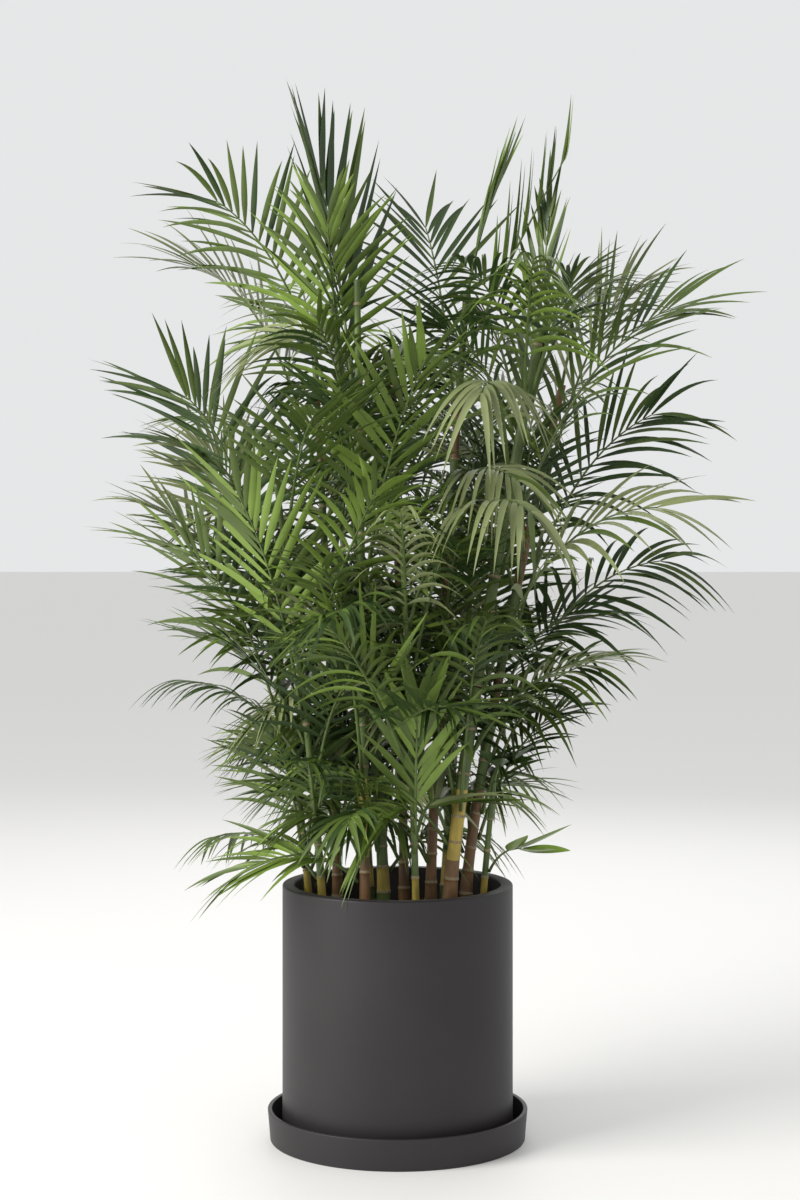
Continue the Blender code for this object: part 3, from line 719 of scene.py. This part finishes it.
def rib_foot(frond, azimuth):
    """The rib's foot: beside its cane, towards an azimuth in radians, or on top of it."""
    cane = CANES[frond.cane]
    if frond.height >= cane.top[2]:
        return Vector(cane.top) + Vector((0, 0, GAP + BLADE_THICKNESS / 2))
    out = Vector((math.cos(azimuth), math.sin(azimuth), 0))
    return cane_centre(cane, frond.height) + out * beside_cane(cane, frond.height)


def rib_curve(frond, turn, crest_share):
    """The rib as a function of its share from foot to tip, with the tip turned round the cane by an angle.

    The crest share says how far out from the foot the rib's bend stands.
    """
    centre = cane_centre(CANES[frond.cane], frond.height)
    out = Matrix.Rotation(turn, 3, "Z") @ (Vector(frond.tip) - centre)
    foot = rib_foot(frond, math.atan2(out.y, out.x))
    tip = centre + out
    crest = foot.lerp(tip, crest_share)
    crest.z = (foot.z + tip.z) / 2 + frond.arch

    def at(share):
        return foot * (1 - share) ** 2 + crest * 2 * share * (1 - share) + tip * share**2

    return at


def segment_distance(a, b, c, d):
    """The least distance between the segments ab and cd."""
    u, v, w = b - a, d - c, a - c
    uu, uv, vv, uw, vw = u.dot(u), u.dot(v), v.dot(v), u.dot(w), v.dot(w)
    det = uu * vv - uv * uv
    s = min(1.0, max(0.0, (uv * vw - vv * uw) / det)) if det > 1e-12 else 0.0
    t = min(1.0, max(0.0, (uv * s + vw) / vv))
    s = min(1.0, max(0.0, (uv * t - uw) / uu))
    return (a + u * s - c - v * t).length


def rib_rods(curve):
    points = [curve(i / RIB_RODS) for i in range(RIB_RODS + 1)]
    return list(zip(points, points[1:]))


def leaves_its_cane(cane, curve):
    """Whether a rib stays outside the cane that it grows from, by more and more as it rolls."""
    for index in range(1, RIB_SAMPLES + 1):
        share = index / RIB_SAMPLES
        point = curve(share)
        if point.z < cane.top[2]:
            away = point - cane_centre(cane, point.z)
            if away.length < beside_cane(cane, point.z) + share * RIB_WIDTH / 2:
                return False
    return True


def rib_is_clear(frond, curve, ribs):
    if not leaves_its_cane(CANES[frond.cane], curve):
        return False
    rods = rib_rods(curve)
    for name, cane in CANES.items():
        if name == frond.cane:
            continue
        for a, b in rods:
            for c, d, radius in cane_rods(cane):
                if segment_distance(a, b, c, d) < radius + RIB_CLEARANCE:
                    return False
    for other in ribs:
        for a, b in rods:
            for c, d in other:
                if segment_distance(a, b, c, d) < 2 * RIB_CLEARANCE:
                    return False
    return True


def clear_rib(frond, ribs, turns):
    """The rib, turned round its cane by as little as keeps it clear of canes and ribs, or nothing."""
    for turn in turns:
        for crest_share in CREST_SHARES:
            curve = rib_curve(frond, math.radians(turn), crest_share)
            if rib_is_clear(frond, curve, ribs):
                return curve
    return None


def place_ribs(fronds, turns, ribs):
    """Each frond's rib; one with no clear way is left out."""
    curves = {}
    for name, frond in fronds.items():
        curve = clear_rib(frond, ribs, turns)
        if curve:
            curves[name] = curve
            ribs.append(rib_rods(curve))
    return curves


def rib_direction(curve, share):
    low, high = max(0.0, share - SHARE_STEP), min(1.0, share + SHARE_STEP)
    return (curve(high) - curve(low)).normalized()


def blade_frame(frond, curve, share):
    """The rib's direction, the way to its left and the blade's upper side, rolled about the rib."""
    along = rib_direction(curve, share)
    chord = curve(1) - curve(0)
    left = Vector((-chord.y, chord.x, 0)).normalized()
    roll = frond.roll * min(1.0, share / ROLL_FULL_SHARE)
    left.rotate(Matrix.Rotation(math.radians(roll), 3, along))
    return along, left, along.cross(left).normalized()


def leaflet_length(frond, place):
    """Leaflets are longest a third of the way up the blade and shorter at both its ends."""
    swell = math.sin(math.pi * min(1.0, SWELL_AT_FOOT + SWELL_PACE * place))
    return frond.leaflet * (LEAFLET_END_LENGTH + (1 - LEAFLET_END_LENGTH) * swell - LENGTH_LOST * place)


def leaflet_profile(reach):
    """A leaflet's width by its share of the length: narrow at the foot, widest low down, with a fine tip."""
    if reach < LEAFLET_WIDEST:
        swell = math.sin(math.pi / 2 * reach / LEAFLET_WIDEST)
        return LEAFLET_FOOT_WIDTH + (1 - LEAFLET_FOOT_WIDTH) * swell
    return max(0.0, 1 - ((reach - LEAFLET_WIDEST) / (1 - LEAFLET_WIDEST)) ** LEAFLET_TIP_POWER)


def leaflet_strip(frond, curve, place, side, tilt, loose):
    """A leaflet's cross-sections: left edge, midrib and right edge, folded a little like a keel."""
    bare = SHOOT_BARE_SHARE if is_shoot(frond) else BARE_SHARE
    share = bare + (1 - bare) * place
    along, left, up = blade_frame(frond, curve, share)
    opening = math.radians(frond.opening * (1 - OPENING_LOST * place) + loose["angle"])
    rise = math.radians(LEAFLET_RISE + tilt + loose["rise"])
    out = left if side == 0 else -left
    way = along * math.cos(opening) + (out * math.cos(rise) + up * math.sin(rise)) * math.sin(opening)
    width = (along - way * along.dot(way)).normalized()
    droop = frond.droop + (loose["droop"] if frond.droop >= 0 else 0)
    length = leaflet_length(frond, place) * loose["length"] / math.sqrt(1 + droop**2)
    widest = SHOOT_LEAFLET_WIDTH if is_shoot(frond) else frond.width * LEAFLET_SLIMNESS
    foot = curve(share) + out * LEAFLET_ROOT
    rows = []
    for step in range(LEAFLET_STEPS + 1):
        reach = step / LEAFLET_STEPS
        point = foot + (way * reach - Vector((0, 0, droop)) * reach**2) * length
        tangent = (way - Vector((0, 0, 2 * droop * reach))).normalized()
        across = (width - tangent * width.dot(tangent)).normalized()
        across.rotate(Matrix.Rotation(loose["twist"] * reach, 3, tangent))
        normal = tangent.cross(across).normalized()
        if normal.dot(up) < 0:
            normal = -normal
        half = widest / 2 * leaflet_profile(reach)
        keel = -normal * half * LEAFLET_FOLD
        rows.append((point + across * half, point + keel, point - across * half))
    return rows


def strip_faces(count, flipped):
    faces = []
    for step in range(count - 1):
        low, high = 3 * step, 3 * step + 3
        faces += [[low, low + 1, high + 1, high], [low + 1, low + 2, high + 2, high + 1]]
    return [face[::-1] for face in faces] if flipped else faces


def cane_tree():
    """The canes as tubes, with the clearance that the leaflets keep."""
    vertices, faces = [], []
    for cane in CANES.values():
        for a, b, radius in cane_rods(cane):
            along = (b - a).normalized()
            first = len(vertices)
            vertices += ring(a, along, radius + CANE_CLEARANCE, CANE_SIDES)
            vertices += ring(b, along, radius + CANE_CLEARANCE, CANE_SIDES)
            for i in range(CANE_SIDES):
                j = (i + 1) % CANE_SIDES
                faces.append([first + i, first + j, first + CANE_SIDES + j, first + CANE_SIDES + i])
    return BVHTree.FromPolygons(vertices, faces)


def add_leaflets(frond, curve, leaves, tree, draw):
    """The frond's leaflets, each tilted clear of the canes or left out, and a few in another tint."""
    pairs = frond.pairs if is_shoot(frond) else frond.pairs + EXTRA_PAIRS
    for pair in range(pairs):
        for side in (0, 1):
            place = (pair + draw.uniform(-LOOSE_PLACE, LOOSE_PLACE)) / (pairs - 1)
            place = min(1.0, max(0.0, place))
            loose = {
                "angle": draw.uniform(-LOOSE_ANGLE, LOOSE_ANGLE),
                "rise": draw.uniform(-LOOSE_ANGLE, LOOSE_ANGLE),
                "length": 1 - draw.uniform(0, LOOSE_LENGTH),
                "droop": draw.uniform(*LOOSE_DROOP_SHARES) * LOOSE_DROOP,
                "twist": draw.uniform(-LOOSE_TWIST, LOOSE_TWIST),
            }
            own = draw.random() < OWN_TINT_SHARE
            tint = frond.tint if own else draw.choice(NEAR_TINTS[frond.tint])
            for tilt in LEAFLET_TILTS:
                rows = leaflet_strip(frond, curve, place, side, tilt, loose)
                vertices = [point for row in rows for point in row]
                faces = strip_faces(len(rows), side == 1)
                if not BVHTree.FromPolygons(vertices, faces).overlap(tree):
                    leaves[tint].add(vertices, faces)
                    break


def add_rib(curve, piece, scale):
    rings = []
    for step in range(RIB_STEPS + 1):
        share = step / RIB_STEPS
        radius = (RIB_ROOT_RADIUS + (RIB_TIP_RADIUS - RIB_ROOT_RADIUS) * share) * scale
        rings.append(ring(curve(share), rib_direction(curve, share), radius, RIB_SIDES))
    piece.add_rings(rings)


def make_fronds():
    """All fronds, with the leaflets of each tint joined into one piece and the ribs into another."""
    shown = {**SHOWN_FRONDS, **back_fronds()}
    ribs = []
    curves = place_ribs(shown, RIB_TURNS, ribs)
    inner = inner_fronds()
    inner_curves = place_ribs(inner, INNER_TURNS, ribs)
    tree = cane_tree()
    draw = random.Random(FINE_SEED)
    leaves = {tint: Piece(f"leaflets_{tint}", [leaf_material(tint)]) for tint in LEAF_COLOURS}
    stalks = Piece("ribs", [cane_material("green")])
    for fronds, places in ((shown, curves), (inner, inner_curves)):
        for name, curve in places.items():
            frond = fronds[name]
            add_leaflets(frond, curve, leaves, tree, draw)
            add_rib(curve, stalks, SHOOT_RIB_SCALE if is_shoot(frond) else 1.0)
    for tint, piece in leaves.items():
        piece.finish(f"leaf_{tint}", [name for name, frond in shown.items() if frond.tint == tint])
    stalks.finish("leaf_mid", list(shown))


def area_light(name, place, size, power, colour):
    light = bpy.data.lights.new(name, "AREA")
    light.size = size
    light.energy = power
    light.color = colour
    lamp = bpy.data.objects.new(name, light)
    lamp.location = place
    lamp.rotation_euler = (Vector(LIGHT_AIM) - Vector(place)).to_track_quat("-Z", "Y").to_euler()
    bpy.context.scene.collection.objects.link(lamp)


def make_stage():
    """A plain pale floor, a pale world, and soft studio light from the left front and from behind."""
    mesh = bpy.data.meshes.new("floor")
    corners = [(x * FLOOR_REACH, y * FLOOR_REACH, 0) for x, y in ((-1, -1), (1, -1), (1, 1), (-1, 1))]
    mesh.from_pydata(corners, [], [[0, 1, 2, 3]])
    finish, _, _, _ = new_material("floor", FLOOR_COLOUR, FLOOR_ROUGHNESS)
    mesh.materials.append(finish)
    floor = bpy.data.objects.new("floor", mesh)
    bpy.context.scene.collection.objects.link(floor)
    for name, settings in LIGHTS.items():
        area_light(name, *settings)
    world = bpy.data.worlds.new("pale")
    world.use_nodes = True
    background = world.node_tree.nodes["Background"]
    background.inputs["Color"].default_value = (*WORLD_COLOUR, 1)
    background.inputs["Strength"].default_value = WORLD_STRENGTH
    bpy.context.scene.world = world
    bpy.context.scene.view_settings.view_transform = "Standard"


def make_camera():
    camera = bpy.data.cameras.new("camera")
    camera.sensor_fit = "VERTICAL"
    camera.sensor_height = CAMERA_FILM
    camera.lens = CAMERA_LENS
    camera.shift_y = CAMERA_SHIFT
    viewer = bpy.data.objects.new("camera", camera)
    viewer.location = CAMERA_PLACE
    viewer.rotation_euler = (math.radians(90), 0, 0)
    bpy.context.scene.collection.objects.link(viewer)
    bpy.context.scene.camera = viewer


def main():
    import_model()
    make_camera()
    make_stage()
    make_pot()
    make_saucer()
    make_soil()
    make_chips()
    make_canes()
    make_fronds()


main()
